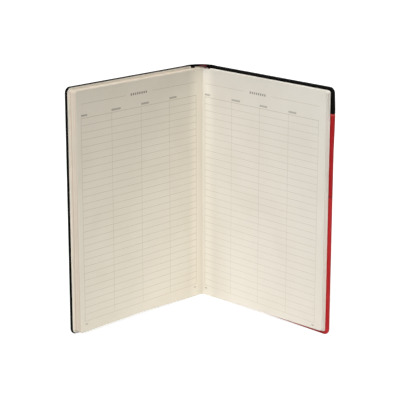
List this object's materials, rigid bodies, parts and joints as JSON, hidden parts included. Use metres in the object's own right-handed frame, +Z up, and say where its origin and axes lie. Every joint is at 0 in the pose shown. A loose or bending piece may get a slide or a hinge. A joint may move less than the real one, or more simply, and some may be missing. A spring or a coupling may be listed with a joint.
{
  "type": "elastic band notebook",
  "caption": "Hard-cover A5 notebook standing open at a ruled spread, with sewn leaves, hinged black and red covers, a ribbon marker and an elastic closing band on the back cover.",
  "frame": {"origin": "centre of the bounding box on the surface that the notebook stands on", "axes": "+Z up along the spine, -Y towards the reader and the open spread, +X from the front cover's side to the back cover's side"},
  "size_m": [0.217, 0.1166, 0.21],
  "materials": {
    "black_cover_cloth": "fine-grained leatherette, matt",
    "red_cover_cloth": "fine-grained leatherette, satin",
    "grey_board": "matt",
    "ivory_paper": "uncoated",
    "ivory_endpaper": "uncoated",
    "spine_gauze": "open weave",
    "sewing_thread": "twisted",
    "headband_cloth": "woven",
    "ribbon_satin": "satin",
    "woven_elastic": "ribbed weave"
  },
  "bodies": {
    "spine": {"spine_wrap": "black_cover_cloth", "spine_board": "grey_board", "spine_lining": "spine_gauze", "headband_head": "headband_cloth", "headband_tail": "headband_cloth", "ribbon_root": "ribbon_satin", "front_joint": "black_cover_cloth", "back_joint": "black_cover_cloth", "sewing_stitch_1": "sewing_thread", "sewing_stitch_2": "sewing_thread", "sewing_stitch_3": "sewing_thread", "sewing_stitch_4": "sewing_thread", "signature_01_fold": "ivory_paper", "signature_02_fold": "ivory_paper", "signature_03_fold": "ivory_paper", "signature_04_fold": "ivory_paper", "signature_05_fold": "ivory_paper", "signature_06_fold": "ivory_paper", "signature_07_fold": "ivory_paper", "signature_08_fold": "ivory_paper", "signature_09_fold": "ivory_paper", "signature_10_fold": "ivory_paper", "signature_11_fold": "ivory_paper", "signature_12_fold": "ivory_paper"},
    "left_pages": {"front_flyleaf": "ivory_endpaper", "signature_01": "ivory_paper", "signature_02": "ivory_paper", "signature_03": "ivory_paper", "signature_04": "ivory_paper", "signature_05": "ivory_paper", "signature_06": "ivory_paper", "signature_07": "ivory_paper", "signature_08": "ivory_paper"},
    "left_leaf": {"left_leaf": "ivory_paper"},
    "front_cover": {"front_board": "grey_board", "front_wrap": "black_cover_cloth", "front_pastedown": "ivory_endpaper"},
    "right_pages": {"signature_09": "ivory_paper", "signature_10": "ivory_paper", "signature_11": "ivory_paper", "signature_12": "ivory_paper", "back_flyleaf": "ivory_endpaper", "ribbon_marker": "ribbon_satin"},
    "right_leaf": {"right_leaf": "ivory_paper"},
    "back_cover": {"back_board": "grey_board", "back_wrap_band": "black_cover_cloth", "back_wrap_panel": "red_cover_cloth", "back_pastedown": "ivory_endpaper", "elastic_head_end": "woven_elastic", "elastic_tail_end": "woven_elastic"},
    "elastic_band": {"elastic_band": "woven_elastic"}
  },
  "joints": [
    {"name": "left_pages_fold", "type": "hinge", "parent": "spine", "child": "left_pages", "pos_m": [-0.00818, 0.05496, 0.105], "axis": [0, 0, -1], "range_deg": [-42.5, 47.5], "deforming": ["signature_01_fold", "signature_02_fold", "signature_03_fold", "signature_04_fold", "signature_05_fold", "signature_06_fold", "signature_07_fold", "signature_08_fold", "front_joint"]},
    {"name": "right_pages_fold", "type": "hinge", "parent": "spine", "child": "right_pages", "pos_m": [0.00818, 0.05496, 0.105], "axis": [0, 0, 1], "range_deg": [-42.5, 47.5], "deforming": ["signature_09_fold", "signature_10_fold", "signature_11_fold", "signature_12_fold", "back_joint"]},
    {"name": "front_cover_hinge", "type": "hinge", "parent": "left_pages", "child": "front_cover", "pos_m": [-0.00818, 0.05496, 0.105], "axis": [0, 0, 1], "range_deg": [-175, 0]},
    {"name": "back_cover_hinge", "type": "hinge", "parent": "right_pages", "child": "back_cover", "pos_m": [0.00818, 0.05496, 0.105], "axis": [0, 0, -1], "range_deg": [-175, 0]},
    {"name": "left_leaf_turn", "type": "hinge", "parent": "left_pages", "child": "left_leaf", "pos_m": [-0.01098, 0.03786, 0.105], "axis": [0, 0, 1], "range_deg": [0, 80]},
    {"name": "right_leaf_turn", "type": "hinge", "parent": "right_pages", "child": "right_leaf", "pos_m": [0.01328, 0.03997, 0.105], "axis": [0, 0, -1], "range_deg": [0, 80]},
    {"name": "elastic_pull", "type": "slide", "parent": "back_cover", "child": "elastic_band", "axis": [0.7373, 0.6756, 0], "range_m": [0, 0.02], "stiffness_N_per_m": 25}
  ]
}
